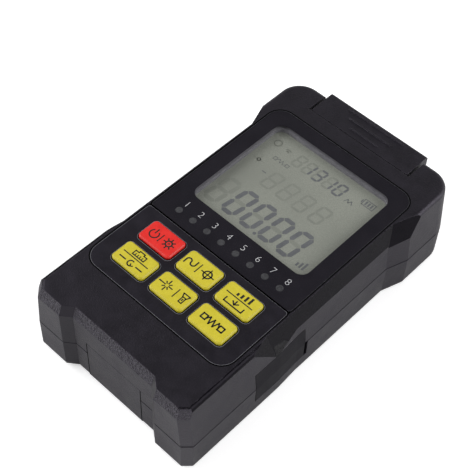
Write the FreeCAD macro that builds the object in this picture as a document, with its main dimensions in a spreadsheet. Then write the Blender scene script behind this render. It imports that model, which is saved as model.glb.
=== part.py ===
"""Handheld optical power meter: a two-shell instrument lying on its back.

Frame: origin at the centre of the underside of the bounding box, +Z out of the front face,
+X to the reader's right, +Y towards the end with the optical ports. Millimetres.
"""
import FreeCAD, Part
import math
import os
import re

import Sketcher

# ---------------------------------------------------------------- driving dimensions
SIZES = {
    # case outline, seen from the front
    "case_length": 123.0,       # over the end blocks and the port flap
    "flap_proud": 2.6,          # the flap stands out of the head end
    "head_half": 34.2,
    "waist_half": 31.6,
    "wide_half": 32.1,
    "lean_in": 0.8,             # side walls lean: narrower than that at the front face
    "lean_out": 0.9,            # and wider at the seam
    "wide_stop_y": -22.1,       # the wide lower part narrows from here
    "waist_start_y": -14.1,
    "waist_stop_y": 28.5,       # and the head widens from here
    "head_start_y": 36.3,
    "head_radius": 8.0,
    "corner_cut": 2.6,
    "recess_half": 16.4,        # hollow between the two end blocks
    "recess_deep": 2.5,
    "recess_slant": 3.3,
    # case section
    "case_depth": 32.0,
    "seam_drop": 6.4,           # board's underside down to the seam between the shells
    "seam_groove": 0.3,
    "wall": 2.2,
    "front_wall": 3.0,
    "floor_wall": 2.2,
    "back_round": 3.0,
    "front_round": 1.6,
    "end_slope_y": 1.4,         # sloping strip along the lower end's front edge
    "end_slope_z": 4.0,
    # long grip facets cut into both sides of the front shell
    "grip_in": 29.8,            # the strip's edge on the front face
    "grip_drop": 7.2,           # its depth on the waist wall
    "grip_low_tip": -34.4,      # tips of the two triangular end facets
    "grip_low_y": -26.2,
    "grip_low_rate": 1.5,
    "grip_high_tip": 41.8,
    "grip_high_y": 31.5,
    "grip_high_rate": 1.02,
    "grip_deep": 12.0,
    # front panel: display lens and keypad panel in one shallow seat
    "panel_half": 29.0,
    "panel_top_y": 44.3,
    "panel_low_y": -43.7,
    "panel_split_y": -15.6,
    "panel_radius": 5.5,
    "panel_seat": 1.6,
    "panel_thick": 1.5,
    "panel_gap": 0.2,
    "panel_edge": 0.2,          # bevel round the lens and the trim plate
    "split_radius": 1.2,
    "window_half": 23.6,
    "window_low_y": -3.7,
    "window_top_y": 39.1,
    "window_radius": 3.2,
    # indicators
    "lamp_pitch": 6.0,
    "lamp_y": -10.9,
    "lamp_radius": 1.35,
    "lamp_gap": 0.15,
    # buttons
    "button_wide": 13.2,
    "button_tall": 8.25,
    "button_space_x": 2.8,      # clear space between neighbouring key caps
    "button_space_y": 2.75,
    "button_row_y": -23.1,      # upper row
    "button_radius": 1.3,
    "button_proud": 1.0,
    "button_edge": 0.45,
    "button_gap": 0.15,
    "button_stroke": 0.8,
    "flange_rim": 0.8,
    "flange_thick": 0.8,
    "flange_gap": 0.1,
    "switch_size": 6.0,
    "switch_tall": 4.1,
    "stem_radius": 1.75,
    "stem_gap": 0.2,
    # board and display module
    "board_drop": 10.0,         # front face down to the board's upper side
    "board_thick": 1.6,
    "board_half": 27.6,
    "board_low_y": -47.5,
    "board_top_y": 44.5,
    "glass_gap": 0.3,
    "glass_thick": 2.2,
    "glass_rim": 2.0,
    "post_half": 2.0,
    "post_x": 24.5,
    "post_low_y": -44.0,
    "post_top_y": 41.0,
    "rib_wide": 1.6,
    # battery bay
    "cell_radius": 5.25,
    "cell_length": 44.5,
    "cell_gap": 0.5,
    "nub_radius": 1.9,
    "nub_tall": 1.0,
    "spring_tall": 2.2,
    "spring_wide": 4.2,
    "contact_thick": 0.4,
    "contact_wide": 8.4,
    "door_gap": 0.2,
    "door_end_top_z": 19.4,
    "door_round": 2.4,
    "bay_side": 0.8,            # free width beside each cell
    "rail_out": 0.8,
    "rail_tall": 0.9,
    "rail_z": 0.9,
    # network jack and its rubber cover, right-hand side
    "jack_y": -21.65,
    "jack_wide": 16.0,
    "jack_tall": 12.4,
    "jack_room": 0.3,           # between the jack and the battery bay's wall
    "jack_back": 2.1,
    "jack_gap": 0.1,
    "socket_wide": 11.8,
    "socket_tall": 7.0,
    "latch_wide": 6.2,
    "latch_tall": 2.6,
    "cover_seat_x": 29.6,
    "cover_shelf": 1.6,
    "cover_low_y": -32.9,
    "cover_top_y": -10.4,
    "cover_below": 1.0,         # the cover reaches this far under the jack
    "cover_rim": 0.8,
    "cover_gap": 0.2,
    "finger_slit": 1.2,
    # port end
    "notch_half": 21.1,
    "flap_half": 20.2,
    "flap_inner_y": 50.1,
    "flap_thick": 2.4,
    "flap_end_thick": 2.2,
    "flap_gap": 0.3,
    "ridge_wide": 0.5,          # finger ridges on the flap, each shorter than the one before
    "ridge_half": 11.5,
    "ridge_less": 2.9,
    "ridge_in": 2.3,
    "ridge_pitch": 3.2,
    "hinge_radius": 4.2,
    "hinge_up": 0.2,
    "pin_radius": 0.75,
    "pin_clear": 0.05,
    "pin_seat": 1.4,
    "block_inner_y": 48.4,
    "block_thick": 4.0,
    "port_drop": 4.4,           # board's underside down to the port axes
    "port_pitch": 12.0,
    "bore_radius": 1.26,
    "meter_barrel": 3.9,
    "meter_flange": 5.0,
    "meter_nose": 3.3,
    "laser_barrel": 3.0,
    "laser_nose": 2.6,
    "flange_y": 1.3,
    "nose_out": 4.6,
    "barrel_in": 2.4,
    "detector_deep": 3.6,
    "laser_deep": 13.2,
    "torch_radius": 2.5,
    "torch_gap": 0.1,
    # case screws
    "boss_radius": 3.2,
    "boss_x": 26.0,
    "boss_low_y": 9.0,          # in from the lower end
    "boss_head_x": 27.3,
    "boss_head_y": 7.9,         # in from the head end
    "screw_radius": 1.4,
    "screw_clear": 0.05,
    "screw_head": 2.7,
    "screw_head_tall": 1.8,
    "screw_sink": 1.0,
    "screw_bite": 9.0,
}

# sizes that follow from the ones above
DERIVED = {
    "low_end": "-case_length / 2",
    "recess_wall": "-case_length / 2 + recess_deep",
    "head_end": "case_length / 2 - flap_proud",
    "flap_end": "case_length / 2",
    "ledge_z": "case_depth - front_wall",
    "seat_z": "case_depth - panel_seat",
    "board_z": "case_depth - board_drop",
    "board_low_z": "case_depth - board_drop - board_thick",
    "seam_z": "board_low_z - seam_drop",
    "port_z": "case_depth - board_drop - board_thick - port_drop",
    "glass_z": "ledge_z - glass_gap - glass_thick",
    "button_pitch_x": "button_wide + button_space_x",
    "button_pitch_y": "button_tall + button_space_y",
    "flange_z": "ledge_z - flange_gap - flange_thick",
    "cell_z": "floor_wall + door_gap + cell_radius",
    "cell_x": "cell_radius + cell_gap / 2",
    "bay_half": "cell_x + cell_radius + bay_side",
    "bay_top": "cell_z + cell_radius + cell_gap",
    "bay_low_y": "recess_wall + wall + wall",
    "bay_top_y": "bay_low_y + cell_length + spring_tall + 2 * contact_thick",
    "door_half": "bay_half - door_gap",
    "jack_low_z": "board_low_z - jack_tall",
    "jack_inner_x": "bay_half + wall + jack_room",
    "jack_deep": "cover_seat_x - jack_inner_x",
    "socket_z": "jack_low_z + jack_tall / 2 - socket_tall / 2 + latch_tall / 2",
    "cover_top_z": "board_low_z + cover_rim",
    "cover_low_z": "jack_low_z - cover_below",
    "hinge_y": "flap_end - hinge_radius",
    "hinge_z": "hinge_radius + hinge_up",
    "notch_floor_y": "hinge_y - hinge_radius - 2 * flap_gap",
    "block_y": "block_inner_y + block_thick",
    "boss_y_low": "low_end + boss_low_y",
    "boss_y_head": "head_end - boss_head_y",
    "lean_rate": "(lean_in + lean_out) / (case_depth - seam_z)",
    "cover_lean": "lean_out - lean_rate * (cover_top_z - cover_gap - seam_z)",
    "grip_slope": "(waist_half - lean_in + lean_rate * grip_drop - grip_in) / grip_drop",
    "grip_low_run": "(grip_low_tip - grip_low_y) / (wide_half - lean_in - grip_in)",
    "grip_high_run": "(grip_high_tip - grip_high_y) / (head_half - lean_in - grip_in)",
}

KEY_GRID = [(column, row) for row in (0, 1) for column in (-1, 0, 1)]
KEY_NAMES = ["power", "wavelength", "store", "mode", "light", "trace"]
LAMPS = 8
DOOR_GRIPS = 4
DOME_STEPS = 3
FLAP_RIDGES = 3

doc = FreeCAD.newDocument("optical_power_meter")
sheet = doc.addObject("Spreadsheet::Sheet", "Sizes")
NAMES = list(SIZES) + list(DERIVED)


def cells(formula):
    """Turn the plain names in a formula into references to the sheet."""
    return re.sub(r"[a-z][a-z_]*", lambda word: prefix(word.group()), formula)


def prefix(word):
    return "Sizes." + word if word in NAMES else word


def fill_sheet():
    for row, (name, number) in enumerate(SIZES.items(), start=1):
        sheet.set("A%d" % row, name)
        sheet.set("B%d" % row, str(number))
        sheet.setAlias("B%d" % row, name)
    for row, (name, formula) in enumerate(DERIVED.items(), start=len(SIZES) + 1):
        sheet.set("A%d" % row, name)
        sheet.set("B%d" % row, "=" + formula)
        sheet.setAlias("B%d" % row, name)
    doc.recompute()


fill_sheet()


def size(formula):
    """The present value of a formula, in millimetres."""
    return float(sheet.evalExpression(cells(str(formula))))


# ---------------------------------------------------------------- building helpers
LEVEL, ALONG_Y, ALONG_X = "XY_Plane", "XZ_Plane", "YZ_Plane"
subparts = []


def new_body(label):
    body = doc.addObject("PartDesign::Body", label)
    body.Label = label
    subparts.append(body)
    return body


def origin_item(body, role):
    return [item for item in body.Origin.OriginFeatures if item.Role == role][0]


def sketch(body, plane, lift):
    """An empty sketch on one of the body's own planes, lift along that plane's normal."""
    drawing = body.newObject("Sketcher::SketchObject", body.Name + "_sketch")
    drawing.AttachmentSupport = [(origin_item(body, plane), "")]
    drawing.MapMode = "FlatFace"
    drawing.setExpression("AttachmentOffset.Base.z", cells(lift))
    return drawing


def hold(drawing, kind, item, point, formula):
    """One dimension from the sketch origin, bound to the sheet."""
    index = drawing.addConstraint(Sketcher.Constraint(kind, -1, 1, item, point, size(formula)))
    drawing.setExpression("Constraints[%d]" % index, cells(formula))


def polygon(drawing, corners):
    first = drawing.GeometryCount
    count = len(corners)
    spots = [FreeCAD.Vector(size(across), size(up), 0) for across, up in corners]
    for index in range(count):
        edge = Part.LineSegment(spots[index], spots[(index + 1) % count])
        drawing.addGeometry(edge, False)
    for index in range(count):
        after = first + (index + 1) % count
        drawing.addConstraint(Sketcher.Constraint("Coincident", first + index, 2, after, 1))
    for index, (across, up) in enumerate(corners):
        hold(drawing, "DistanceX", first + index, 1, across)
        hold(drawing, "DistanceY", first + index, 1, up)
    return drawing


def rectangle(drawing, left, low, right, high):
    return polygon(drawing, [(left, low), (right, low), (right, high), (left, high)])


def circle(drawing, across, up, radius):
    index = drawing.GeometryCount
    middle = FreeCAD.Vector(size(across), size(up), 0)
    ring = Part.Circle(middle, FreeCAD.Vector(0, 0, 1), size(radius))
    drawing.addGeometry(ring, False)
    hold(drawing, "DistanceX", index, 3, across)
    hold(drawing, "DistanceY", index, 3, up)
    number = drawing.addConstraint(Sketcher.Constraint("Radius", index, size(radius)))
    drawing.setExpression("Constraints[%d]" % number, cells(radius))
    return drawing


def grow(body, kind, profile, length, **settings):
    """A pad or pocket of the profile; the change of volume shows that it points the right way."""
    before = 0 if body.Shape.isNull() else body.Shape.Volume
    feature = body.newObject("PartDesign::" + kind, body.Name + "_" + kind.lower())
    feature.Profile = profile
    feature.setExpression("Length", cells(length))
    for name, setting in settings.items():
        setattr(feature, name, setting)
    body.Tip = feature
    doc.recompute()
    change = body.Shape.Volume - before
    if kind == "Pad" and change <= 0 or kind == "Pocket" and change >= 0:
        raise ValueError("%s did nothing on %s" % (kind, body.Label))
    return feature


def pad(body, profile, length, **settings):
    return grow(body, "Pad", profile, length, **settings)


def pocket(body, profile, length, **settings):
    return grow(body, "Pocket", profile, length, **settings)


def mirrored(body, feature, plane=ALONG_X):
    copy = body.newObject("PartDesign::Mirrored", body.Name + "_mirrored")
    copy.Originals = [feature]
    copy.MirrorPlane = (origin_item(body, plane), [""])
    body.Tip = copy
    doc.recompute()
    return copy


def dress(body, kind, amount, choose):
    """Round or bevel the edges that choose() picks from the body's present shape."""
    names = []
    for index, edge in enumerate(body.Shape.Edges, start=1):
        if choose(edge):
            names.append("Edge%d" % index)
    if not names:
        raise ValueError("no edges to dress on " + body.Label)
    base = body.Tip
    feature = body.newObject("PartDesign::" + kind, body.Name + "_" + kind.lower())
    feature.Base = (base, names)
    feature.setExpression("Radius" if kind == "Fillet" else "Size", cells(amount))
    body.Tip = feature
    doc.recompute()
    return feature


def upright(edge, spots):
    """True for an edge along Z that stands on one of the given (x, y) spots."""
    box = edge.BoundBox
    if box.XLength > 0.01 or box.YLength > 0.01:
        return False
    return any(math.hypot(box.XMin - x, box.YMin - y) < 0.02 for x, y in spots)


def level_at(edge, height):
    box = edge.BoundBox
    return box.ZLength < 0.01 and abs(box.ZMin - height) < 0.01


def slab(label, left, low, right, high, base, tall):
    """A plate with a rectangular plan, from base upwards."""
    body = new_body(label)
    pad(body, rectangle(sketch(body, LEVEL, base), left, low, right, high), tall)
    return body


def round_uprights(body, radius, corners):
    spots = [(size(x), size(y)) for x, y in corners]
    return dress(body, "Fillet", radius, lambda edge: upright(edge, spots))


def turned(label, profile, spin_axis="X_Axis"):
    """A body of revolution from (along, radius) pairs; it is turned about its own X axis."""
    body = new_body(label)
    drawing = polygon(sketch(body, LEVEL, "0"), profile)
    feature = body.newObject("PartDesign::Revolution", label + "_turned")
    feature.Profile = drawing
    feature.ReferenceAxis = (origin_item(body, spin_axis), [""])
    feature.Angle = 360
    body.Tip = feature
    doc.recompute()
    return body


def place(part, x, y, z, axis=(0, 0, 1), angle=0):
    """Put a sub-part at formulas x, y, z, turned by a whole angle about an axis."""
    turn = FreeCAD.Rotation(FreeCAD.Vector(*axis), angle)
    part.Placement = FreeCAD.Placement(FreeCAD.Vector(size(x), size(y), size(z)), turn)
    for name, formula in (("x", x), ("y", y), ("z", z)):
        part.setExpression("Placement.Base." + name, cells(formula))
    return part


# ---------------------------------------------------------------- case outline
def outline(inset="0", lean="lean_out", slope="0"):
    """The case in plan, moved inwards by inset: end blocks, wide part, waist and head.

    Its side walls stand further out by lean and its lower end further in by slope, because
    neither is upright.
    """
    right = [
        ("recess_half", "recess_wall + S + I"),
        ("recess_half + recess_slant", "low_end + S + I"),
        ("wide_half + L - corner_cut", "low_end + S + I"),
        ("wide_half + L - I", "low_end + S + corner_cut"),
        ("wide_half + L - I", "wide_stop_y"),
        ("waist_half + L - I", "waist_start_y"),
        ("waist_half + L - I", "waist_stop_y"),
        ("head_half + L - I", "head_start_y"),
        ("head_half + L - I", "head_end - I"),
    ]
    for letter, shift in (("I", inset), ("L", lean), ("S", slope)):
        right = [(x.replace(letter, shift), y.replace(letter, shift)) for x, y in right]
    left = [("-(%s)" % x, y) for x, y in reversed(right)]
    return right + left


def cavity(drawing):
    """Inner outline of both shells: straight across the lower end, stepped round the port notch."""
    right = [
        ("wide_half - wall", "recess_wall + wall"),
        ("wide_half - wall", "wide_stop_y"),
        ("waist_half - wall", "waist_start_y"),
        ("waist_half - wall", "waist_stop_y"),
        ("head_half - wall", "head_start_y"),
        ("head_half - wall", "head_end - head_radius"),
        ("head_half - head_radius", "head_end - wall"),
        ("notch_half + wall", "head_end - wall"),
        ("notch_half + wall", "block_inner_y"),
    ]
    left = [("-(%s)" % x, y) for x, y in reversed(right)]
    return polygon(drawing, right + left)


def seam_cut(body, base):
    """A shallow groove round the outside where the two shells meet."""
    drawing = sketch(body, LEVEL, base)
    rectangle(drawing, "-2 * head_half", "-case_length", "2 * head_half", "case_length")
    polygon(drawing, outline("seam_groove"))
    return pocket(body, drawing, "seam_groove / 2", Reversed=True)


def round_head(body):
    """The large radius on the two corners of the head, along edges that may lean."""
    end, side = size("head_end"), size("waist_half")

    def corner(edge):
        box = edge.BoundBox
        tall = box.ZLength > max(box.XLength, box.YLength)
        return tall and abs(box.YMin - end) < 0.01 and min(abs(box.XMin), abs(box.XMax)) > side

    dress(body, "Fillet", "head_radius", corner)


BOSSES = [(side + "boss_x", "boss_y_low") for side in ("", "-")]
BOSSES += [(side + "boss_head_x", "boss_y_head") for side in ("", "-")]


def jack_wall(body, base, tall, slit):
    """The thick wall round the network jack, the cover's seat with its slit, and the jack's hole."""
    shelf = sketch(body, LEVEL, base)
    rectangle(shelf, "cover_seat_x - cover_shelf", "cover_low_y - wall",
              "waist_half - wall / 2", "cover_top_y + wall")
    pad(body, shelf, tall)
    seat = sketch(body, ALONG_X, "cover_seat_x")
    rectangle(seat, "cover_low_y", "cover_low_z",
              "cover_top_y + " + slit, "cover_top_z")
    pocket(body, seat, "wall + cover_seat_x", Reversed=True)
    hole = sketch(body, ALONG_X, "cover_seat_x - cover_shelf - wall / 2")
    rectangle(hole, "jack_y - jack_wide / 2 - jack_gap", "jack_low_z - jack_gap",
              "jack_y + jack_wide / 2 + jack_gap", "board_low_z + jack_gap")
    pocket(body, hole, "wall * 2", Reversed=True)


def port_notch(body, base, tall):
    """The notch in the head end that the port block and its flap fill."""
    inner = sketch(body, LEVEL, base)
    rectangle(inner, "-notch_half", "block_inner_y - wall",
              "notch_half", "case_length")
    pocket(body, inner, tall, Reversed=True)


# ---------------------------------------------------------------- front shell
def loft(body, kind, lower, upper):
    """A straight-sided loft between two sketches."""
    feature = body.newObject("PartDesign::" + kind, body.Name + "_loft")
    feature.Profile = lower
    feature.Sections = [upper]
    feature.Ruled = True
    body.Tip = feature
    doc.recompute()
    return feature


def leaning_walls(body):
    """The front shell's outer form: leaning walls, then the sloping strip at the lower end."""
    seam = polygon(sketch(body, LEVEL, "seam_z"), outline())
    bend = "(lean_rate * end_slope_z - lean_in)"
    strip = polygon(sketch(body, LEVEL, "case_depth - end_slope_z"), outline(lean=bend))
    loft(body, "AdditiveLoft", seam, strip)
    foot = polygon(sketch(body, LEVEL, "case_depth - end_slope_z"), outline(lean=bend))
    face = polygon(sketch(body, LEVEL, "case_depth"),
                   outline(lean="(-lean_in)", slope="end_slope_y"))
    loft(body, "AdditiveLoft", foot, face)


def grip_facets(body):
    """Cut the long strip and its two triangular end facets, on both sides, as one tapering cut."""
    out = "(2 * head_half)"
    drop = "grip_deep"
    inner = "(grip_in + grip_deep * grip_slope)"
    low_y = "grip_low_y + grip_low_run * (%s - grip_in)"
    high_y = "grip_high_y + grip_high_run * (%s - grip_in)"
    low_shift = " + grip_low_rate * grip_deep"
    high_shift = " - grip_high_rate * grip_deep"
    upper = sketch(body, LEVEL, "case_depth")
    polygon(upper, [("grip_in", "grip_low_y"), ("grip_in", "grip_high_y"),
                    (out, high_y % out), (out, low_y % out)])
    lower = sketch(body, LEVEL, "case_depth - " + drop)
    polygon(lower, [(inner, low_y % inner + low_shift), (inner, high_y % inner + high_shift),
                    (out, high_y % out + high_shift), (out, low_y % out + low_shift)])
    mirrored(body, loft(body, "SubtractiveLoft", upper, lower))


def round_front(body):
    """Small radius along the front edge round the head and beside the lower end."""
    top, head, wide = size("case_depth"), size("grip_high_tip"), size("grip_low_tip")
    outer = size("wide_half - lean_in - front_round")

    def wanted(edge):
        box = edge.BoundBox
        if not level_at(edge, top):
            return False
        beside = abs(box.Center.x) > outer and box.YMax < wide + 0.1
        return beside or box.YMin > head - 0.1

    dress(body, "Fillet", "front_round", wanted)


def front_shell():
    body = new_body("front_shell")
    leaning_walls(body)
    round_head(body)
    grip_facets(body)
    round_front(body)
    seam_cut(body, "seam_z")
    pocket(body, cavity(sketch(body, LEVEL, "seam_z")), "ledge_z - seam_z", Reversed=True)
    panel_seat(body)
    front_fittings(body)
    return body


def panel_seat(body):
    """The shallow seat of the front panel: window, key openings and lamp slot in its floor."""
    seat = sketch(body, LEVEL, "seat_z")
    rectangle(seat, "-panel_half - panel_gap", "panel_low_y - panel_gap",
              "panel_half + panel_gap", "panel_top_y + panel_gap")
    pocket(body, seat, "panel_seat", Reversed=True)
    corners = []
    for side in ("-panel_half - panel_gap", "panel_half + panel_gap"):
        corners.append((side, "panel_low_y - panel_gap"))
        corners.append((side, "panel_top_y + panel_gap"))
    round_uprights(body, "panel_radius + panel_gap", corners)
    window = sketch(body, LEVEL, "seat_z")
    rectangle(window, "-window_half - panel_gap", "window_low_y - panel_gap",
              "window_half + panel_gap", "window_top_y + panel_gap")
    pocket(body, window, "front_wall")
    corners = []
    for side in ("-window_half - panel_gap", "window_half + panel_gap"):
        corners.append((side, "window_low_y - panel_gap"))
        corners.append((side, "window_top_y + panel_gap"))
    round_uprights(body, "window_radius", corners)
    keys = sketch(body, LEVEL, "seat_z")
    for column, row in KEY_GRID:
        rectangle(keys, *key_hole(column, row))
    pocket(body, keys, "front_wall")
    lamps = sketch(body, LEVEL, "seat_z")
    rectangle(lamps, lamp_x(-0.5), "lamp_y - lamp_radius - lamp_gap",
              lamp_x(LAMPS - 0.5), "lamp_y + lamp_radius + lamp_gap")
    pocket(body, lamps, "front_wall")


def front_fittings(body):
    """Screw bosses, board ribs, jack wall, port notch and the cut-out for the battery door."""
    bosses = sketch(body, LEVEL, "seam_z")
    for x, y in BOSSES:
        circle(bosses, x, y, "boss_radius")
    pad(body, bosses, "ledge_z - seam_z")
    pilots = sketch(body, LEVEL, "seam_z")
    for x, y in BOSSES:
        circle(pilots, x, y, "screw_radius + screw_clear")
    pocket(body, pilots, "screw_bite", Reversed=True)
    ribs = sketch(body, LEVEL, "board_z")
    for y in ("post_low_y", "post_top_y"):
        for side in (1, -1):
            ends = ["%d * (board_half - rib_wide)" % side, "%d * (waist_half - wall / 2)" % side]
            rectangle(ribs, ends[0], y + " - rib_wide / 2", ends[1], y + " + rib_wide / 2")
    pad(body, ribs, "ledge_z - board_z")
    jack_wall(body, "seam_z", "cover_top_z + wall - seam_z", "0")
    port_notch(body, "seam_z", "ledge_z - seam_z")
    flap_seat = sketch(body, LEVEL, "seam_z")
    rectangle(flap_seat, "-notch_half", "flap_inner_y", "notch_half", "case_length")
    pocket(body, flap_seat, "case_depth", Reversed=True)
    door = sketch(body, LEVEL, "seam_z")
    rectangle(door, "-bay_half", "-case_length", "bay_half", "recess_wall + 2 * wall")
    pocket(body, door, "door_end_top_z + door_gap - seam_z", Reversed=True)


# ---------------------------------------------------------------- rear shell
def rear_shell():
    body = new_body("rear_shell")
    pad(body, polygon(sketch(body, LEVEL, "0"), outline()), "seam_z")
    round_head(body)
    dress(body, "Fillet", "back_round", lambda edge: level_at(edge, 0))
    seam_cut(body, "seam_z - seam_groove / 2")
    pocket(body, cavity(sketch(body, LEVEL, "floor_wall")), "seam_z", Reversed=True)
    bosses = sketch(body, LEVEL, "floor_wall")
    for x, y in BOSSES:
        circle(bosses, x, y, "boss_radius")
    pad(body, bosses, "seam_z - floor_wall")
    posts = sketch(body, LEVEL, "floor_wall")
    for y in ("post_low_y", "post_top_y"):
        for side in ("", "-"):
            x = side + "post_x"
            rectangle(posts, x + " - post_half", y + " - post_half",
                      x + " + post_half", y + " + post_half")
    pad(body, posts, "board_low_z - floor_wall")
    holes = sketch(body, LEVEL, "0")
    for x, y in BOSSES:
        circle(holes, x, y, "screw_radius + screw_clear")
    pocket(body, holes, "seam_z", Reversed=True)
    sinks = sketch(body, LEVEL, "0")
    for x, y in BOSSES:
        circle(sinks, x, y, "screw_head + screw_clear")
    pocket(body, sinks, "screw_sink + screw_head_tall", Reversed=True)
    battery_bay(body)
    jack_wall(body, "floor_wall", "seam_z - floor_wall", "finger_slit")
    port_notch(body, "floor_wall", "seam_z")
    flap_seat = sketch(body, LEVEL, "0")
    rectangle(flap_seat, "-notch_half", "notch_floor_y", "notch_half", "case_length")
    pocket(body, flap_seat, "case_depth", Reversed=True)
    pin_seat = sketch(body, ALONG_X, "-notch_half - pin_seat")
    circle(pin_seat, "hinge_y", "hinge_z", "pin_radius")
    pocket(body, pin_seat, "2 * (notch_half + pin_seat)", Reversed=True)
    return body


def battery_bay(body):
    """The cell compartment: a box inside the case, open at the back and the lower end."""
    box = sketch(body, LEVEL, "floor_wall")
    rectangle(box, "-bay_half - wall", "recess_wall + wall",
              "bay_half + wall", "bay_top_y + wall")
    pad(body, box, "bay_top + wall - floor_wall")
    bay = sketch(body, LEVEL, "0")
    rectangle(bay, "-bay_half", "bay_low_y", "bay_half", "bay_top_y")
    pocket(body, bay, "bay_top", Reversed=True)
    mouth = sketch(body, LEVEL, "0")
    rectangle(mouth, "-bay_half", "-case_length", "bay_half", "bay_low_y + contact_thick")
    pocket(body, mouth, "floor_wall + door_gap", Reversed=True)
    face = sketch(body, LEVEL, "0")
    rectangle(face, "-bay_half", "-case_length", "bay_half", "recess_wall + wall + door_gap")
    pocket(body, face, "case_depth", Reversed=True)
    rails = sketch(body, LEVEL, "rail_z - door_gap")
    rectangle(rails, "-bay_half - rail_out", "-case_length", "bay_half + rail_out", "bay_top_y")
    pocket(body, rails, "rail_tall + 2 * door_gap", Reversed=True)


def battery_door():
    """Back plate and end wall in one piece; side tongues run in the rear shell's grooves."""
    body = new_body("battery_door")
    profile = polygon(sketch(body, ALONG_X, "0"), [
        ("recess_wall", "0"), ("bay_top_y - door_gap", "0"),
        ("bay_top_y - door_gap", "floor_wall"), ("recess_wall + wall", "floor_wall"),
        ("recess_wall + wall", "door_end_top_z"), ("recess_wall", "door_end_top_z")])
    pad(body, profile, "2 * door_half", Midplane=True)
    end = size("recess_wall")
    dress(body, "Fillet", "door_round", lambda edge: level_at(edge, 0)
          and abs(edge.BoundBox.YMax - end) < 0.01)
    tongues = sketch(body, LEVEL, "rail_z")
    rectangle(tongues, "-door_half - rail_out + door_gap", "recess_wall + wall + door_gap",
              "door_half + rail_out - door_gap", "bay_top_y - door_gap")
    pad(body, tongues, "rail_tall")
    grips = sketch(body, LEVEL, "0")
    for number in range(DOOR_GRIPS):
        y = "bay_low_y + %d * rail_out * 2.5" % (number + 3)
        rectangle(grips, "-door_half / 2", y, "door_half / 2", y + " + rail_out")
    pocket(body, grips, "floor_wall / 4", Reversed=True)
    return body


# ---------------------------------------------------------------- front panel
def bevel_top(body):
    """A narrow bevel along the outer edge of a panel's upper face."""
    top = size("seat_z + panel_thick")
    dress(body, "Chamfer", "panel_edge", lambda edge: level_at(edge, top))


def display_lens():
    """Clear window plate that covers the display and the indicator row."""
    body = slab("display_lens", "-panel_half", "panel_split_y + panel_gap / 2",
                "panel_half", "panel_top_y", "seat_z", "panel_thick")
    round_uprights(body, "panel_radius", [("-panel_half", "panel_top_y"),
                                          ("panel_half", "panel_top_y")])
    low = "panel_split_y + panel_gap / 2"
    round_uprights(body, "split_radius", [("-panel_half", low), ("panel_half", low)])
    bevel_top(body)


def keypad_panel():
    """Trim plate round the six keys."""
    high = "panel_split_y - panel_gap / 2"
    body = slab("keypad_panel", "-panel_half", "panel_low_y",
                "panel_half", high, "seat_z", "panel_thick")
    round_uprights(body, "panel_radius", [("-panel_half", "panel_low_y"),
                                          ("panel_half", "panel_low_y")])
    round_uprights(body, "split_radius", [("-panel_half", high), ("panel_half", high)])
    bevel_top(body)
    keys = sketch(body, LEVEL, "seat_z")
    corners = []
    for column, row in KEY_GRID:
        hole = key_hole(column, row)
        rectangle(keys, *hole)
        corners += [(hole[0], hole[1]), (hole[2], hole[1]), (hole[2], hole[3]), (hole[0], hole[3])]
    pocket(body, keys, "panel_seat", Reversed=True)
    round_uprights(body, "button_radius", corners)


def key_spot(column, row):
    return "%d * button_pitch_x" % column, "button_row_y - %d * button_pitch_y" % row


def key_hole(column, row, grow_by="button_gap"):
    x, y = key_spot(column, row)
    return ("%s - button_wide / 2 - %s" % (x, grow_by), "%s - button_tall / 2 - %s" % (y, grow_by),
            "%s + button_wide / 2 + %s" % (x, grow_by), "%s + button_tall / 2 + %s" % (y, grow_by))


def lamp_x(number):
    return "%.1f * lamp_pitch" % (number - (LAMPS - 1) / 2)


def button(name, column, row):
    """A hard key cap with rounded corners and a retaining flange behind the front wall."""
    label = "button_" + name
    cap = key_hole(column, row, "0")
    body = slab(label, *cap, "flange_z", "case_depth + button_proud - flange_z")
    round_uprights(body, "button_radius", [(cap[0], cap[1]), (cap[2], cap[1]),
                                           (cap[2], cap[3]), (cap[0], cap[3])])
    top = size("case_depth + button_proud")
    dress(body, "Chamfer", "button_edge", lambda edge: level_at(edge, top))
    flange = sketch(body, LEVEL, "flange_z")
    rectangle(flange, *key_hole(column, row, "flange_rim"))
    pad(body, flange, "flange_thick")
    return body


def indicator_lamp(number):
    """A clear light guide: a peg from the board up to the back of the lens."""
    tall = "seat_z - board_z - lamp_gap"
    body = turned("indicator_lamp_%d" % (number + 1), [
        ("0", "0"), ("0", "lamp_radius"), (tall, "lamp_radius"), (tall, "0")])
    place(body, lamp_x(number), "lamp_y", "board_z", (0, 1, 0), -90)


# ---------------------------------------------------------------- board and display
def block(label, left, low, base, wide, long, tall):
    """A plain rectangular sub-part."""
    box = doc.addObject("Part::Box", label)
    box.Label = label
    box.setExpression("Length", cells(wide))
    box.setExpression("Width", cells(long))
    box.setExpression("Height", cells(tall))
    subparts.append(box)
    return place(box, left, low, base)


def electronics():
    block("main_board", "-board_half", "board_low_y", "board_low_z",
          "2 * board_half", "board_top_y - board_low_y", "board_thick")
    left = "-window_half - glass_rim"
    low = "window_low_y - glass_rim"
    wide = "2 * (window_half + glass_rim)"
    tall = "window_top_y - window_low_y + 2 * glass_rim"
    block("display_glass", left, low, "glass_z", wide, tall, "glass_thick")
    holder = slab("display_holder", left, low, "-(%s)" % left, "window_top_y + glass_rim",
                  "board_z", "glass_z - board_z")
    hollow = sketch(holder, LEVEL, "board_z")
    rectangle(hollow, "-window_half", "window_low_y", "window_half", "window_top_y")
    pocket(holder, hollow, "glass_z - board_z - panel_seat", Reversed=True)
    for name, (column, row) in zip(KEY_NAMES, KEY_GRID):
        switch(name, column, row)


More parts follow.
